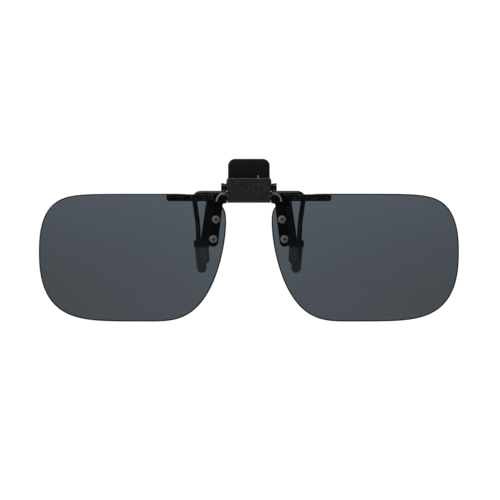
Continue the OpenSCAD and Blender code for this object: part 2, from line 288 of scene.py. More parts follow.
def piece(name, bm, body, materials, nodes=(), side=1, cutter=None, lining=None, sharp=None):
    """Makes a piece, lets it ride on its body, and hides the CAD nodes that it stands for."""
    obj = bpy.data.objects.new(name, mesh_of(name, bm, side))
    bpy.context.scene.collection.objects.link(obj)
    for material in materials:
        obj.data.materials.append(material)
    if cutter:
        cut(obj, cutter, lining)
    if sharp:
        obj.data.set_sharp_from_angle(angle=math.radians(sharp))
    flat = obj.modifiers.new("even shading", "WEIGHTED_NORMAL")
    flat.keep_sharp = True
    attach(obj, body)
    if nodes:
        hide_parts(*nodes)
    return obj


# ---------------------------------------------------------------- materials
class Shader:
    """A Principled material and the few node patterns that these materials share."""

    def __init__(self, name, **plain):
        self.material = bpy.data.materials.new(name)
        self.material.use_nodes = True
        self.tree = self.material.node_tree
        self.bsdf = self.tree.nodes["Principled BSDF"]
        for socket, value in plain.items():
            self.bsdf.inputs[socket.replace("_", " ")].default_value = value
        self.place = self.tree.nodes.new("ShaderNodeTexCoord").outputs["Object"]

    def add(self, kind, **inputs):
        """A node whose named inputs are set or linked."""
        node = self.tree.nodes.new(kind)
        for socket, value in inputs.items():
            self.join(value, node.inputs[socket.replace("_", " ")])
        return node

    def join(self, value, socket):
        """Links a socket's value, or sets a plain one."""
        if isinstance(value, bpy.types.NodeSocket):
            self.tree.links.new(value, socket)
        else:
            socket.default_value = value

    def stretched(self, scale):
        """Object coordinates, scaled differently along each axis."""
        node = self.tree.nodes.new("ShaderNodeMapping")
        self.join(self.place, node.inputs["Vector"])
        node.inputs["Scale"].default_value = scale
        return node.outputs["Vector"]

    def noise(self, size, detail=2.0, roughness=0.5, place=None):
        """Noise whose blobs are about size mm across."""
        node = self.add("ShaderNodeTexNoise", Vector=place or self.place, Scale=1 / (size * MM),
                        Detail=detail, Roughness=roughness)
        return node.outputs["Fac"]

    def ranged(self, value, low, high, to_low, to_high):
        """A value carried from one range to another, and held at its ends."""
        node = self.tree.nodes.new("ShaderNodeMapRange")
        for socket, number in zip(("Value", "From Min", "From Max", "To Min", "To Max"),
                                  (value, low, high, to_low, to_high)):
            self.join(number, node.inputs[socket])
        return node.outputs["Result"]

    def mixed(self, share, a, b):
        """A colour between a, where the share is 0, and b, where it is 1."""
        node = self.tree.nodes.new("ShaderNodeMix")
        node.data_type = "RGBA"
        self.join(share, node.inputs[0])
        for value, socket in ((a, node.inputs[6]), (b, node.inputs[7])):
            self.join(value if isinstance(value, bpy.types.NodeSocket) else (*value, 1), socket)
        return node.outputs[2]

    def math(self, operation, a, b=0.0):
        """One sum of two values."""
        node = self.tree.nodes.new("ShaderNodeMath")
        node.operation = operation
        self.join(a, node.inputs[0])
        self.join(b, node.inputs[1])
        return node.outputs[0]

    def edges(self, low=0.52, high=0.6):
        """1 on worn outer edges, 0 elsewhere."""
        geometry = self.tree.nodes.new("ShaderNodeNewGeometry")
        return self.ranged(geometry.outputs["Pointiness"], low, high, 0.0, 1.0)

    def bump(self, height, depth, strength=1.0):
        """Relief on the surface, depth in mm."""
        node = self.add("ShaderNodeBump", Height=height, Distance=depth * MM, Strength=strength)
        self.join(node.outputs["Normal"], self.bsdf.inputs["Normal"])

    def set(self, **linked):
        """Links the shader's named sockets and gives the finished material."""
        for socket, value in linked.items():
            self.join(value, self.bsdf.inputs[socket.replace("_", " ")])
        return self.material


def paint(name, colour, wear_and_highlight, grain, rough, gloss=0.5):
    """Sprayed metal: orange-peel grain, faint mottling, and edges rubbed a little brighter."""
    s = Shader(name, Specular_IOR_Level=gloss)
    mottle = s.noise(2.4, 3.0)
    fine = s.noise(grain, 3.0, 0.6)
    scuffs = s.ranged(s.noise(0.6, 4.0, 0.7), 0.52, 0.62, 0.0, 1.0)
    wear = s.math("MULTIPLY", s.edges(), scuffs)
    base = s.mixed(mottle, [c * 0.8 for c in colour], [c * 1.25 for c in colour])
    s.bump(fine, 0.012, 0.6)
    return s.set(Base_Color=s.mixed(wear, base, wear_and_highlight),
                 Roughness=s.ranged(fine, 0.3, 0.7, rough - 0.06, rough + 0.08))


def smoke_tint():
    """Clear grey tinted plastic, a touch bluer and lighter towards the top and the nose."""
    s = Shader("smoke_lens", Transmission_Weight=1.0, IOR=1.5)
    axes = s.add("ShaderNodeSeparateXYZ", Vector=s.place)
    low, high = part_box("lens_left")
    up = s.math("POWER", s.ranged(axes.outputs["Z"], low.z, high.z, 0.0, 1.0), 1.7)
    nose = s.ranged(s.math("ABSOLUTE", axes.outputs["X"]), low.x, high.x, 1.0, 0.0)
    share = s.math("ADD", s.math("MULTIPLY", up, 0.72), s.math("MULTIPLY", nose, 0.42))
    cloudy = s.math("ADD", share, s.ranged(s.noise(9, 2.0), 0.0, 1.0, -0.03, 0.03))
    wipes = s.noise(3.0, 4.0, 0.6, s.stretched((1.0, 1.0, 0.35)))
    return s.set(Base_Color=s.mixed(cloudy, (0.0565, 0.0655, 0.072), (0.083, 0.100, 0.119)),
                 Roughness=s.ranged(wipes, 0.35, 0.75, 0.0, 0.012))


def lens_rim():
    """The polished rim of the lens, where the tint is seen along its depth."""
    s = Shader("lens_rim", IOR=1.5, Specular_IOR_Level=0.3)
    marks = s.noise(0.5, 3.0)
    return s.set(Base_Color=s.mixed(marks, (0.006, 0.007, 0.009), (0.014, 0.017, 0.020)),
                 Roughness=s.ranged(marks, 0.3, 0.7, 0.12, 0.24))


def moulded(name):
    """Matt black moulded plastic with a fine spark-eroded texture."""
    s = Shader(name, Specular_IOR_Level=0.42)
    grain = s.noise(0.16, 2.0, 0.6)
    soft = s.noise(3.0, 2.0)
    s.bump(grain, 0.014, 0.5)
    return s.set(Base_Color=s.mixed(soft, (0.0030, 0.0030, 0.0031), (0.0052, 0.0052, 0.0053)),
                 Roughness=s.ranged(grain, 0.3, 0.7, 0.42, 0.58))


def rubber(name, dark, light):
    """Smoky soft rubber: fine mould lines down its length and a dull, slightly cloudy body."""
    s = Shader(name)
    s.bsdf.inputs["Subsurface Weight"].default_value = 0.25
    s.bsdf.inputs["Subsurface Radius"].default_value = (1.0, 0.9, 0.85)
    s.bsdf.inputs["Subsurface Scale"].default_value = 0.5 * MM
    cloud = s.noise(1.2, 3.0, 0.6)
    lines = s.noise(0.25, 2.0, 0.5, s.stretched((1.0, 1.0, 0.12)))
    s.bump(lines, 0.02, 0.6)
    return s.set(Base_Color=s.mixed(cloud, dark, light),
                 Roughness=s.ranged(lines, 0.3, 0.7, 0.5, 0.66))


def steel(name, colour, rough, stretch, grain=0.12, metal=1.0):
    """Bare steel with drawn or turned scratches, duller where metal is under 1."""
    s = Shader(name, Metallic=metal)
    scratches = s.noise(grain, 3.0, 0.7, s.stretched(stretch))
    stain = s.noise(0.8, 3.0)
    s.bump(scratches, 0.006, 0.5)
    return s.set(Base_Color=s.mixed(stain, [c * 0.75 for c in colour], colour),
                 Roughness=s.ranged(scratches, 0.3, 0.7, rough - 0.07, rough + 0.08))


def nylon():
    """Dull black nylon of the lens washers."""
    s = Shader("washer_nylon")
    grain = s.noise(0.2, 2.0)
    s.bump(grain, 0.01, 0.4)
    return s.set(Base_Color=s.mixed(grain, (0.03, 0.03, 0.03), (0.06, 0.06, 0.058)),
                 Roughness=s.ranged(grain, 0.3, 0.7, 0.4, 0.55))


HOUSING = paint("housing_paint", (0.0095, 0.0095, 0.0095), (0.10, 0.10, 0.10), 0.22, 0.40)
BLACK = paint("black_paint", (0.004, 0.004, 0.0042), (0.03, 0.03, 0.03), 0.3, 0.3, 0.3)
BRACKET = paint("bracket_paint", (0.002, 0.002, 0.0021), (0.02, 0.02, 0.0195), 0.3, 0.3, 0.25)
# The elbow's upper rim is coloured light grey: a painted highlight.
RIB_HIGHLIGHT = paint("bracket_rib_painted_highlight", (0.13, 0.13, 0.127), (0.26, 0.26, 0.25), 0.3, 0.30)
WIRE = paint("wire_paint", (0.003, 0.003, 0.0031), (0.03, 0.03, 0.03), 0.25, 0.25)
CAP = moulded("cap_plastic")
TINT = smoke_tint()
RIM = lens_rim()
TIP = rubber("tip_rubber", (0.34, 0.292, 0.276), (0.475, 0.412, 0.39))
COLLAR = rubber("tip_collar", (0.020, 0.018, 0.021), (0.038, 0.034, 0.039))
SPRING = steel("spring_steel", (0.50, 0.50, 0.49), 0.3, (1.0, 1.0, 1.0))
AXLE_STEEL = steel("axle_steel", (0.48, 0.48, 0.48), 0.28, (0.1, 1.0, 1.0))
SCREW_STEEL = steel("screw_steel", (0.28, 0.272, 0.248), 0.85, (1.0, 1.0, 1.0), 0.08, 0.82)
# Near-black lining for the screws' cross recesses: painted shade.
RECESS_SHADE = paint("screw_recess_painted_shade", (0.006, 0.006, 0.006), (0.02, 0.02, 0.02), 0.2, 0.6)
NYLON = nylon()


# ---------------------------------------------------------------- clamp body
HOUSING_LOW, HOUSING_HIGH = box("hinge_housing")
HALF, WEB_FRONT, HOUSING_TOP = HOUSING_HIGH
WALL_FRONT = HOUSING_LOW.y
BARREL = WEB_FRONT - AXLE[0]
BORE = 1.0
SHEET = 0.8
WINDOW_HALF, WINDOW_LIP = 4.4, 0.75
WEB_LOW, WEB_HIGH = 17.5, 22.0
EAR_LOW, EAR_HIGH = 20.67, 23.07
ARM_Z, ARM_FROM, ARM_R = AXLE[1] + 0.2, -1.05, 0.95


def make_housing():
    """Rolled plate: a front wall that curls under into the barrel round the axle."""
    wall_back, crown, waist = WALL_FRONT + SHEET, AXLE[1] + BARREL, AXLE[1] + 0.2
    profile = arc(AXLE, BARREL, 180, 360, 32)
    profile += rounded([(WEB_FRONT, waist, 0), (WEB_FRONT, crown, 0.2), (wall_back, crown, 0.25),
                        (wall_back, HOUSING_TOP, 0.3), (WALL_FRONT, HOUSING_TOP, 0.38),
                        (WALL_FRONT, waist, 0)])
    bm = bmesh.new()
    plate(bm, [profile, hole(AXLE, BORE)], -HALF, HALF, along_x, edge=0.2)
    lip = WEB_FRONT - WINDOW_LIP
    opening = rounded([(-WINDOW_HALF, wall_back, 0), (WINDOW_HALF, wall_back, 0),
                       (WINDOW_HALF, lip, 0.4), (-WINDOW_HALF, lip, 0.4)])
    window = bmesh.new()
    plate(window, [opening], AXLE[1] + 0.3, crown + 0.4, along_z, edge=0.001, steps=1)
    piece("hinge_housing_shell", bm, "clamp_body", [HOUSING], ["hinge_housing"],
          cutter=window, sharp=40)


def make_clamp_frame():
    """Pressed frame behind the housing: a web, two ears for the pin, two arms for the legs."""
    bm = bmesh.new()
    web = rounded([(-HALF, WEB_LOW, 0.4), (HALF, WEB_LOW, 0.4),
                   (HALF, WEB_HIGH, 0.4), (-HALF, WEB_HIGH, 0.4)])
    plate(bm, [web], WEB_FRONT, WEB_FRONT + SHEET, along_y, edge=0.15)
    front, back = WALL_FRONT + SHEET, WEB_FRONT + 0.3
    ear = rounded([(front, EAR_LOW, 0.15), (back, EAR_LOW, 0.15), (back, WEB_HIGH, 0.3),
                   (WEB_FRONT - 0.2, EAR_HIGH, 0.8), (front, EAR_HIGH, 0.8)])
    arm = arc((ARM_FROM, ARM_Z), ARM_R, -90, 90, 20)
    arm += arc((WEB_FRONT + 1.0, ARM_Z), ARM_R, 90, 270, 20)
    for side in SIDES.values():
        inner, outer = sorted((side * (HALF - SHEET), side * HALF))
        plate(bm, [ear], inner, outer, along_x, edge=0.14)
        plate(bm, [arm], inner, outer, along_x, edge=0.14)
    piece("clamp_frame_pressing", bm, "clamp_body", [BLACK], ["clamp_frame"])


# Radii, and the x where the heads and the washers start and end.
PIN_R, PIN_HEAD_R, PIN_HEAD_FROM = 0.6, 1.17, 7.67
PIN_WASHER_R, PIN_WASHER_FROM, PIN_WASHER_TO = 1.2, HALF + 0.01, HALF + 0.23


def make_pin():
    """Pivot pin with a washer beside each ear and a riveted head at each end."""
    reach = box("pivot_pin")[1].x
    right = turned(PIN_HEAD_FROM, reach, PIN_HEAD_R, 0.12)[:0:-1] + [(PIN_HEAD_FROM, PIN_R)]
    right += [(PIN_WASHER_TO, PIN_R), (PIN_WASHER_TO, PIN_WASHER_R),
              (PIN_WASHER_FROM, PIN_WASHER_R), (PIN_WASHER_FROM, PIN_R)]
    profile = [(-x, r) for x, r in right] + right[::-1]
    bm = bmesh.new()
    lathe(bm, profile, PIN, along_x)
    piece("pivot_pin_riveted", bm, "clamp_body", [BLACK], ["pivot_pin"], sharp=50)


# The legs end at (y, z). The shares say how much of the coil each of the two pieces takes.
COIL_R, COIL_WIRE, COIL_TURNS, TURN_STEPS = 1.0, 0.17, 8, 32
COIL_FROM, COIL_TO = -3.6, 2.9
LEVER_LEG, WALL_LEG = (-3.22, 25.4), (-6.48, 24.2)
CLAMP_SHARE, LEVER_SHARE = 0.97, 0.9


def tangent_angle(to, sign, radius):
    """Angle on the coil where a straight leg leaves for a point."""
    dy, dz = to[0] - PIN[0], to[1] - PIN[1]
    bearing = math.degrees(math.atan2(dz, dy))
    return bearing - sign * math.degrees(math.acos(radius / math.hypot(dy, dz)))


def coil_points(start, end):
    """Points on the coil between two shares of its length."""
    first = tangent_angle(WALL_LEG, -1, COIL_R) - 360 * (COIL_TURNS - 1)
    last = tangent_angle(LEVER_LEG, 1, COIL_R)
    count = max(int((end - start) * COIL_TURNS * TURN_STEPS), 2)
    points = []
    for i in range(count + 1):
        t = start + (end - start) * i / count
        a = math.radians(first + (last - first) * t)
        points.append(Vector((COIL_FROM + (COIL_TO - COIL_FROM) * t,
                              PIN[0] + COIL_R * math.cos(a), PIN[1] + COIL_R * math.sin(a))))
    return points


def make_torsion_spring():
    """Coil and wall leg ride on the clamp, and the lever's leg rides on the lever."""
    bm = bmesh.new()
    sweep(bm, [Vector((COIL_FROM, *WALL_LEG))] + coil_points(0, CLAMP_SHARE), COIL_WIRE, 12)
    piece("torsion_spring_coil", bm, "clamp_body", [SPRING], ["torsion_spring"])
    bm = bmesh.new()
    sweep(bm, coil_points(LEVER_SHARE, 1) + [Vector((COIL_TO, *LEVER_LEG))], COIL_WIRE, 12)
    piece("torsion_spring_leg", bm, "rear_jaw", [SPRING])


def make_detent_spring():
    """Leaf spring, bowed down onto the flats of the axle's cam."""
    on_cam, on_barrel, thick, half = AXLE[1] + 0.675, AXLE[1] + 1.79, 0.18, 0.7
    under = [(1.6, on_cam, 0.5), (4, on_barrel, 0.5), (6.6, on_barrel, 0.05)]
    over = [(x, z + thick, r) for x, z, r in reversed(under)]
    right = under + over
    left = [(-x, z, r) for x, z, r in reversed(right)]
    bm = bmesh.new()
    plate(bm, [rounded(right + left)], AXLE[0] - half, AXLE[0] + half, along_y, edge=0.05, steps=2)
    piece("detent_leaf", bm, "clamp_body", [SPRING], ["detent_spring"])


# ---------------------------------------------------------------- legs, wires and rubber tips
# Corners of the rear wire's route, from the lever's cheek to the end in the tip.
WIRE_R, WIRE_BEND = 0.75, 1.9
REAR_ROUTE = [(6.65, 4.6, 20.1), (17.2, 4.6, 20.1), (15.9, 4.6, 10.8),
              (15.6, 1.5, 5.2), (14.8, 1.5, -2.0)]
LEG_SHOULDER, LEG_SHOULDER_R, LEG_ARM = (11.55, 18.38), 1.5, 2.0
TANG_IN, TANG_OUT, BLADE_FOOT = 13.2, 14.7, 5.3
# A tip's middle line runs from top to bottom, and roof is the height of its flat top. Its front
# and back are its depth, and collar is how far the collar stands out at the sides.
TIP_HALF, COLLAR_LONG, COLLAR_LIP = 1.5, 2.05, 0.12
FRONT_TIP = {"top": (14.1, 3.9), "bottom": (13.7, -0.45), "roof": 5.3,
             "depth": (-2.1, 0.0), "collar": 0.3}
REAR_TIP = {"top": (15.5, 3.9), "bottom": (14.6, -3.15), "roof": 5.4,
            "depth": (0.3, 2.7), "collar": 0.08}


def make_front_leg(name, side, node):
    """Stamped leg: an arm from the ear, a round shoulder, a wide blade, and a tang in the tip."""
    low, high = box("front_leg_left")
    arm_low = high.z - LEG_ARM
    loop = rounded([(low.x, arm_low, 0), (10.72, arm_low, 0.7), (12.0, 6.2, 0.5),
                    (12.7, BLADE_FOOT, 0.3), (TANG_IN, BLADE_FOOT, 0), (TANG_IN, low.z, 0.25),
                    (TANG_OUT, low.z, 0.25), (TANG_OUT, BLADE_FOOT, 0), (high.x, 5.8, 0.3)])
    loop += arc(LEG_SHOULDER, LEG_SHOULDER_R, 9, 90, 16)
    loop.append((low.x, LEG_SHOULDER[1] + LEG_SHOULDER_R))
    bm = bmesh.new()
    plate(bm, [loop], low.y, high.y, along_y, edge=0.18)
    piece(name, bm, "clamp_body", [BLACK], [node], side)


def make_rear_wire(name, side, node):
    """Bent wire: out from the lever's cheek, down behind the lens and into the tip."""
    bm = bmesh.new()
    sweep(bm, bent(REAR_ROUTE, WIRE_BEND), WIRE_R, 24)
    piece(name, bm, "rear_jaw", [WIRE], [node], side)


def tip_outline(tip, roof, grow=0.0, floor=None):
    """Flat top, sides that follow the wire, and a round end, or a flat one at floor."""
    top, bottom, half = tip["top"], tip["bottom"], TIP_HALF + grow
    lean = unit(top, bottom)
    roof_left, roof_right = (top[0] - half, roof, 0.35), (top[0] + half, roof, 0.35)
    if floor is not None:
        share = (floor - top[1]) / (bottom[1] - top[1])
        x = top[0] + (bottom[0] - top[0]) * share
        return rounded([roof_right, roof_left, (x - half, floor, 0.3), (x + half, floor, 0.3)])
    start = math.degrees(math.atan2(lean.y, lean.x))
    end = arc(bottom, half, start - 90, start + 90, 24)
    corners = rounded([roof_right, roof_left, (*end[0], 0), (*end[-1], 0)])
    return corners[:-2] + end


def make_tip(name, side, tip, body, node):
    """Rubber sleeve on the wire's end, with a darker collar round its mouth."""
    (low, high), roof = tip["depth"], tip["roof"]
    bm = bmesh.new()
    plate(bm, [tip_outline(tip, roof)], low, high, along_y, edge=0.6, steps=6)
    collar = tip_outline(tip, roof + 0.05, tip["collar"], roof - COLLAR_LONG)
    # The collar doesn't stand out on the gripping side.
    front, back = low - COLLAR_LIP * (low < 0), high + COLLAR_LIP * (low > 0)
    plate(bm, [collar], front, back, along_y, edge=0.35, slot=1)
    piece(name, bm, body, [TIP, COLLAR], [node], side)


# ---------------------------------------------------------------- rear jaw
LEVER_FRONT, LEVER_T, LEVER_HALF = PIN[0] + 2.7, 0.7, 6.0
LEVER_FOOT, LEVER_KNEE, LEVER_STEP = PIN[1] - 0.95, PIN[1] + 0.65, 24.2
CHEEK_R, CHEEK_HOLE = 1.05, 0.65


def make_lever():
    """Thumb lever: a plate whose foot widens into two cheeks that swing on the pin."""
    high = box("thumb_lever")[1]
    outer, inner = high.x, high.x - LEVER_T
    right = [(outer, LEVER_FOOT, 0.2), (outer, LEVER_KNEE, 0.25), (inner, LEVER_KNEE + 0.001, 0),
             (inner, LEVER_STEP, 0.25), (LEVER_HALF, LEVER_STEP, 0.15), (LEVER_HALF, high.z, 1.8)]
    left = [(-x, z, r) for x, z, r in reversed(right)]
    bm = bmesh.new()
    plate(bm, [rounded(right + left)], LEVER_FRONT, LEVER_FRONT + LEVER_T, along_y, edge=0.12)
    wire = REAR_ROUTE[0][1:]
    lean = math.degrees(math.atan2(wire[1] - PIN[1], wire[0] - PIN[0]))
    cheek = arc(PIN, CHEEK_R, lean + 90, lean + 270, 24)
    cheek += arc(wire, CHEEK_R, lean - 90, lean + 90, 24)
    for side in SIDES.values():
        low, high = sorted((side * inner, side * outer))
        plate(bm, [cheek, hole(PIN, CHEEK_HOLE)], low, high, along_x, edge=0.12)
    piece("thumb_lever_plate", bm, "rear_jaw", [BLACK], ["thumb_lever"])


def make_cap():
    """Moulded sleeve over the lever, with soft edges."""
    low, high = box("lever_cap")
    outline = rounded([(low.x, low.z, 0.3), (high.x, low.z, 0.3),
                       (high.x, high.z, 2.2), (low.x, high.z, 2.2)], steps=12)
    bm = bmesh.new()
    plate(bm, [outline], low.y, high.y, along_y, edge=0.45, steps=6)
    piece("lever_cap_moulding", bm, "rear_jaw", [CAP], ["lever_cap"])


# ---------------------------------------------------------------- flip frame
# Places are (x, z) on the wearer's left.
SCREWS = [(10.17, 11.84), (10.94, 5.76)]
BRACKET_FRONT, BRACKET_BACK = -6.1, -5.3
BRACKET_INNER = HALF + 0.2
ELBOW, ELBOW_R, ELBOW_RIM = (BRACKET_INNER, 17.2), 3.35, 0.42
STRIP_TOP, STRIP_END, STRIP_R = (9.7, 16.0), (11.02, 5.0), 1.58
BAR_LOW, BAR_HIGH, BAR_END = 17.45, 19.6, 25.4
# Shares of the elbow's radius where the knuckle's rings lie, and the first one that takes the painted
# highlight on the upper rim.
KNUCKLE_FLOOR = ELBOW[1] - 0.45
KNUCKLE_RINGS = [0.2, 0.4, 0.55, 0.7, 0.8, 0.84, 0.88, 0.91, 0.94, 0.965, 0.985, 1.0]
HIGHLIGHT_FROM, FAN_STEPS = 0.84, 72


def screw_places(side):
    """(x, z) of the two screws on one side."""
    return [(x * side, z) for x, z in SCREWS]


def knuckle_front(x, z):
    """y of the barrel's round front, which falls away at the elbow's rounded rim."""
    rise = z - AXLE[1]
    over = max(math.hypot(x - ELBOW[0], z - ELBOW[1]) - (ELBOW_R - ELBOW_RIM), 0.0)
    fall = ELBOW_RIM - math.sqrt(max(ELBOW_RIM * ELBOW_RIM - over * over, 0.0))
    return min(AXLE[0] - math.sqrt(max(BARREL * BARREL - rise * rise, 0.0)) + fall, AXLE[0])


def knuckle_column(bm, a):
    """Vertices on one ray of the knuckle's fan, cut off at its floor."""
    reach = min(ELBOW_R, (ELBOW[1] - KNUCKLE_FLOOR) / max(-math.sin(a), 1e-6))
    spots = [(ELBOW[0] + reach * s * math.cos(a), ELBOW[1] + reach * s * math.sin(a))
             for s in KNUCKLE_RINGS]
    return [bm.verts.new((x, knuckle_front(x, z), z)) for x, z in spots]


def add_knuckle(bm, back):
    """Carries the housing's barrel on into the elbow, with a painted highlight: the upper half of its
    rim is coloured lighter.
    """
    angles = [math.radians(-90 + 180 * i / FAN_STEPS) for i in range(FAN_STEPS + 1)]
    columns = [knuckle_column(bm, a) for a in angles]
    centre = bm.verts.new((ELBOW[0], knuckle_front(*ELBOW), ELBOW[1]))
    for i, (a, b) in enumerate(zip(columns, columns[1:])):
        bm.faces.new((centre, a[0], b[0]))
        for k in range(len(KNUCKLE_RINGS) - 1):
            # Outer rings above the elbow's centre take the light rib colour, a painted highlight.
            wear_and_highlight = angles[i] > 0 and KNUCKLE_RINGS[k] >= HIGHLIGHT_FROM
            bm.faces.new((a[k], a[k + 1], b[k + 1], b[k])).material_index = int(wear_and_highlight)
    front = [centre] + columns[0] + [c[-1] for c in columns[1:-1]] + columns[-1][::-1]
    behind = [bm.verts.new((v.co.x, back, v.co.z)) for v in front]
    bridge(bm, [front, behind])
    bm.faces.new(behind)


def bracket_outline():
    """Once round the bracket: elbow's foot, strip, crook, bar, neck and elbow."""
    lean = math.degrees(math.atan2(STRIP_END[1] - STRIP_TOP[1], STRIP_END[0] - STRIP_TOP[0]))
    end = arc(STRIP_END, STRIP_R, lean - 90, lean + 90, 24)
    neck = arc(ELBOW, ELBOW_R, 16, 86, 24)
    crook = [(11.31, 15.6, 0.3), (12.3, 15.6, 0.3), (12.8, BAR_LOW, 0.6)]
    bar = [(BAR_END, BAR_LOW, 0.9), (BAR_END, BAR_HIGH, 0.35), (10.6, BAR_HIGH, 0.35),
           (10.6, 18.15, 0.2)]
    loop = rounded([(BRACKET_INNER, KNUCKLE_FLOOR, 0), (8.03, KNUCKLE_FLOOR, 0.55),
                    (*end[0], 0)])[:-1]
    loop += end
    loop += rounded([(*end[-1], 0)] + crook + bar + [(*neck[0], 0)])[1:-1]
    return loop + neck + [(BRACKET_INNER, ELBOW[1] + ELBOW_R)]


def make_bracket(name, side, node):
    """Knuckle on the axle, round elbow, screw strip down the lens and bar along its top edge."""
    bm = bmesh.new()
    plate(bm, [bracket_outline()], BRACKET_FRONT, BRACKET_BACK, along_y, edge=0.22, steps=5)
    lathe(bm, turned(HALF + 0.05, BRACKET_INNER + 1.1, BARREL - 0.03, 0.3), AXLE, along_x)
    add_knuckle(bm, BRACKET_BACK - 0.2)
    piece(name, bm, "flip_frame", [BRACKET, RIB_HIGHLIGHT], [node], side)


# The front is a sphere of LENS_R that touches y = LENS_FRONT at CROWN. The outline's quarters
# meet over CREST_X, below TROUGH_X and at the heights NOSE_Z and TEMPLE_Z.
LENS_R, CROWN, LENS_FRONT, LENS_T = 300.0, (18.0, 12.0), -5.0, 1.0
LENS_EDGE, LENS_MIDDLE = 0.42, Vector((34.0, 2.0))
CREST_X, TROUGH_X, NOSE_Z, TEMPLE_Z = 23.1, 31.1, 10.5, 2.0
CURVE_STEPS, OUTLINE_POINTS, FACE_RINGS = 200, 240, 24
DRILL_R, DRILL_FROM, DRILL_TO = 0.7, -6.5, -2


def power(x, n):
    """A superellipse's share of its half axis."""
    return max(x, 0.0) ** (2 / n)


def lens_curve():
    """Four superellipse quarters, from the temple over the top to the nose and back below."""
    low, high = box("lens_left")
    quarters = [((CREST_X, TEMPLE_Z), high, (8.9, 2.3), 0, 90),
                ((CREST_X, NOSE_Z), Vector((low.x, 0, high.z)), (2.0, 3.6), 90, 0),
                ((TROUGH_X, NOSE_Z), low, (3.2, 1.6), 0, 90),
                ((TROUGH_X, TEMPLE_Z), Vector((high.x, 0, low.z)), (4.6, 2.5), 90, 0)]
    curve = []
    for (x, z), corner, (n, m), start, end in quarters:
        across, up = corner.x - x, corner.z - z
        for i in range(CURVE_STEPS):
            t = math.radians(start + (end - start) * i / CURVE_STEPS)
            curve.append(Vector((x + across * power(math.cos(t), n), z + up * power(math.sin(t), m))))
    return curve


def evenly(curve, count):
    """Points at equal steps along a closed curve."""
    lengths = [(curve[i] - curve[i - 1]).length for i in range(len(curve))]
    total = sum(lengths)
    loop, walked, i = [], 0.0, 0
    for k in range(count):
        goal = total * k / count
        while walked + lengths[(i + 1) % len(curve)] < goal:
            i += 1
            walked += lengths[i % len(curve)]
        after = (i + 1) % len(curve)
        share = (goal - walked) / (lengths[after] or 1)
        loop.append(tuple(curve[i % len(curve)].lerp(curve[after], share)))
    return loop


def lens_depth(x, z, depth):
    """y of the shell that lies depth mm inside the lens's spherical front."""
    flat = (x - CROWN[0]) ** 2 + (z - CROWN[1]) ** 2
    return LENS_FRONT + LENS_R - math.sqrt((LENS_R - depth) ** 2 - flat)


def lens_point(bm, x, z, depth):
    """Vertex on one of the lens's shells."""
    return bm.verts.new((x, lens_depth(x, z, depth), z))


def add_lens_face(bm, ring, depth):
    """Fills the lens's front or back with rings that shrink onto its middle."""
    last = ring
    for k in range(1, FACE_RINGS):
        inner = []
        for vert in ring:
            away = Vector((vert.co.x, vert.co.z)) - LENS_MIDDLE
            inner.append(lens_point(bm, *(LENS_MIDDLE + away * (1 - k / FACE_RINGS)), depth))
        bridge(bm, [last, inner])
        last = inner
    centre = lens_point(bm, *LENS_MIDDLE, depth)
    for i in range(len(last)):
        bm.faces.new((centre, last[i - 1], last[i]))


def make_lens(name, side, node):
    """Spherical shell with a rounded, polished rim and holes for its two screws."""
    outline = evenly(lens_curve(), OUTLINE_POINTS)
    rim = round_edge(LENS_EDGE, 5)
    rim += [(LENS_T - depth, back) for depth, back in reversed(rim)]
    bm = bmesh.new()
    rings = [[lens_point(bm, u, v, depth) for u, v in inset(outline, back)] for depth, back in rim]
    bridge(bm, rings, 1)
    add_lens_face(bm, rings[0], 0.0)
    add_lens_face(bm, rings[-1], LENS_T)
    drills = bmesh.new()
    for at in screw_places(side):
        lathe(drills, [(DRILL_FROM, 0), (DRILL_FROM, DRILL_R), (DRILL_TO, DRILL_R), (DRILL_TO, 0)],
              at, along_y)
    obj = piece(name, bm, "flip_frame", [TINT, RIM], [node], side, cutter=drills)
    # A clear solid would still throw a full shadow, so the lens throws none.
    obj.visible_shadow = False


SCREW_HEAD_R, SCREW_HEAD_T, SCREW_DOME_R = 1.2, 0.6, 1.8
SCREW_SHANK_R, SCREW_END, SCREW_CHAMFER = 0.6, -2.86, 0.06
SLOT_HALF, SLOT_REACH, SLOT_FLOOR = 0.15, 0.72, 0.32
SCREW_TURNS = {1: (20, 75), -1: (50, 5)}  # degrees, upper and lower screw of each side
NUT_R, NUT_BORE = 1.2, 0.61


def screw_profile():
    """Spherical head, flat seat and chamfered shank, from the front back."""
    steep = math.asin(SCREW_HEAD_R / SCREW_DOME_R)
    crown = BRACKET_FRONT - SCREW_HEAD_T + SCREW_DOME_R
    dome = [(crown - SCREW_DOME_R * math.cos(a), SCREW_DOME_R * math.sin(a))
            for a in (steep * k / 10 for k in range(11))]
    return dome + [(BRACKET_FRONT - 0.05, SCREW_HEAD_R), (BRACKET_FRONT, SCREW_HEAD_R - 0.05),
                   (BRACKET_FRONT, SCREW_SHANK_R), (SCREW_END - SCREW_CHAMFER, SCREW_SHANK_R),
                   (SCREW_END, SCREW_SHANK_R - SCREW_CHAMFER), (SCREW_END, 0)]


def cross_outline(at, turn):
    """Outline of a cross recess, turned by an angle in degrees."""
    cross = []
    for a in (math.radians(turn) + k * math.pi / 2 for k in range(4)):
        u, v = Vector((math.cos(a), math.sin(a))), Vector((-math.sin(a), math.cos(a)))
        for p, q in ((SLOT_HALF, -SLOT_HALF), (SLOT_REACH, -SLOT_HALF), (SLOT_REACH, SLOT_HALF)):
            cross.append(tuple(Vector(at) + u * p + v * q))
    return cross


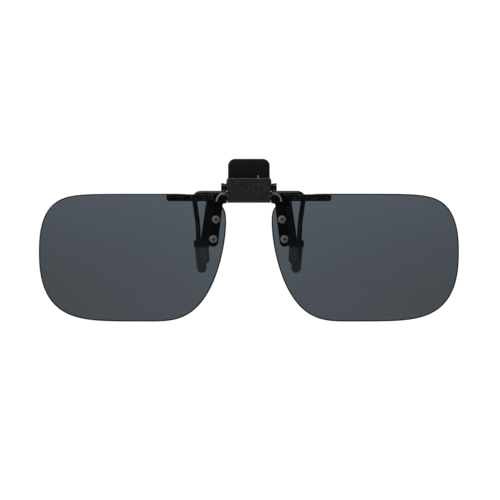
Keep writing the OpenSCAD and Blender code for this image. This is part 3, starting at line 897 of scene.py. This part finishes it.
def make_screws():
    """Four small screws: domed heads with a cross recess, and shanks that end in the nuts."""
    bm, recess = bmesh.new(), bmesh.new()
    for side in SIDES.values():
        for at, turn in zip(screw_places(side), SCREW_TURNS[side]):
            lathe(bm, screw_profile(), at, along_y)
            plate(recess, [cross_outline(at, turn)], BRACKET_FRONT - 0.8, BRACKET_FRONT - SLOT_FLOOR,
                  along_y, edge=0.001, steps=1)
    # The walls of each cross recess take a near-black painted shade.
    piece("lens_screw_set", bm, "flip_frame", [SCREW_STEEL], ["lens_screws"],
          cutter=recess, lining=RECESS_SHADE, sharp=35)


def make_nuts():
    """Turned nuts with rounded faces."""
    bm = bmesh.new()
    low, high = box("lens_nuts")
    for side in SIDES.values():
        for at in screw_places(side):
            plate(bm, [circle(at, NUT_R), hole(at, NUT_BORE)], low.y, high.y, along_y, edge=0.12)
    piece("lens_nut_set", bm, "flip_frame", [SCREW_STEEL], ["lens_nuts"])


def repaint_kept_nodes():
    """Gives the CAD pieces that are shown as they are their finish."""
    kept = {"hinge_axle": AXLE_STEEL, "front_washers": NYLON, "rear_washers": NYLON}
    for node, material in kept.items():
        mesh = frame["nodes"][node].data
        mesh.materials.clear()
        mesh.materials.append(material)


make_housing()
make_clamp_frame()
make_pin()
make_torsion_spring()
make_detent_spring()
make_lever()
make_cap()
make_screws()
make_nuts()
repaint_kept_nodes()
for word, side in SIDES.items():
    make_front_leg(f"front_leg_{word}_stamping", side, f"front_leg_{word}")
    make_rear_wire(f"rear_wire_{word}_bent", side, f"rear_wire_{word}")
    make_tip(f"front_tip_{word}_sleeve", side, FRONT_TIP, "clamp_body", f"front_tip_{word}")
    make_tip(f"rear_tip_{word}_sleeve", side, REAR_TIP, "rear_jaw", f"rear_tip_{word}")
    make_bracket(f"lens_bracket_{word}_plate", side, f"lens_bracket_{word}")
    make_lens(f"lens_{word}_shell", side, f"lens_{word}")


# ---------------------------------------------------------------- camera, light and floor
WHITE = (1, 1, 1, 1)
FOCAL, SENSOR = 250, 36
VIEW_WIDTH, VIEW_X, VIEW_Z = 0.1541, 0.00034, 0.00242
LAMP_AIM = Vector((0, 0, 0.012))
SEEN_WHITE, LIT_WHITE = 1.05, 0.015
FLOOR_Z, FLOOR_HALF, FLOOR_GLOW = -0.045, 3.0, 1.04


def make_camera():
    """Straight on from the front, at the height of the fingers."""
    data = bpy.data.cameras.new("camera")
    data.lens = FOCAL
    data.sensor_width = SENSOR
    data.clip_start = 0.01
    camera = bpy.data.objects.new("camera", data)
    camera.location = (VIEW_X, LENS_FRONT * MM - VIEW_WIDTH * FOCAL / SENSOR, VIEW_Z)
    camera.rotation_euler = (math.radians(90), 0, 0)
    bpy.context.scene.collection.objects.link(camera)
    bpy.context.scene.camera = camera


def make_lamp(name, at, size, power):
    """Soft lamp that faces the object and isn't in the picture."""
    data = bpy.data.lights.new(name, "AREA")
    data.shape = "RECTANGLE"
    data.size, data.size_y = size
    data.energy = power
    lamp = bpy.data.objects.new(name, data)
    lamp.location = at
    lamp.rotation_euler = (LAMP_AIM - Vector(at)).to_track_quat("-Z", "Y").to_euler()
    lamp.visible_camera = False
    bpy.context.scene.collection.objects.link(lamp)


def make_world():
    """White to the eye and through the lenses, dimmer where it lights or is mirrored."""
    world = bpy.data.worlds.new("studio")
    world.use_nodes = True
    tree = world.node_tree
    seen = tree.nodes["Background"]
    seen.inputs["Color"].default_value = WHITE
    seen.inputs["Strength"].default_value = SEEN_WHITE
    lit = tree.nodes.new("ShaderNodeBackground")
    lit.inputs["Color"].default_value = WHITE
    lit.inputs["Strength"].default_value = LIT_WHITE
    path = tree.nodes.new("ShaderNodeLightPath")
    direct = tree.nodes.new("ShaderNodeMath")
    direct.operation = "MAXIMUM"
    mix = tree.nodes.new("ShaderNodeMixShader")
    tree.links.new(path.outputs["Is Camera Ray"], direct.inputs[0])
    tree.links.new(path.outputs["Is Transmission Ray"], direct.inputs[1])
    tree.links.new(direct.outputs[0], mix.inputs["Fac"])
    tree.links.new(lit.outputs[0], mix.inputs[1])
    tree.links.new(seen.outputs[0], mix.inputs[2])
    tree.links.new(mix.outputs[0], tree.nodes["World Output"].inputs["Surface"])
    bpy.context.scene.world = world


def make_floor():
    """Pale floor, well below the object, bright enough to end in white."""
    bm = bmesh.new()
    bmesh.ops.create_grid(bm, x_segments=2, y_segments=2, size=FLOOR_HALF)
    mesh = bpy.data.meshes.new("floor")
    bm.to_mesh(mesh)
    bm.free()
    floor = bpy.data.objects.new("floor", mesh)
    floor.location.z = FLOOR_Z
    floor.visible_glossy = False
    bpy.context.scene.collection.objects.link(floor)
    white = Shader("floor_white", Roughness=1.0, Specular_IOR_Level=0.0, Base_Color=(0.8, 0.8, 0.8, 1),
                   Emission_Color=WHITE, Emission_Strength=FLOOR_GLOW)
    mesh.materials.append(white.material)


make_camera()
make_world()
make_lamp("above", (-0.08, -0.25, 0.50), (0.35, 0.2), 1.4)
make_lamp("left", (-0.45, -0.25, 0.30), (0.2, 0.2), 0.8)
make_lamp("table", (0.0, 0.03, -0.042), (0.12, 0.06), 0.0046)
make_floor()
bpy.context.scene.view_settings.view_transform = "Standard"
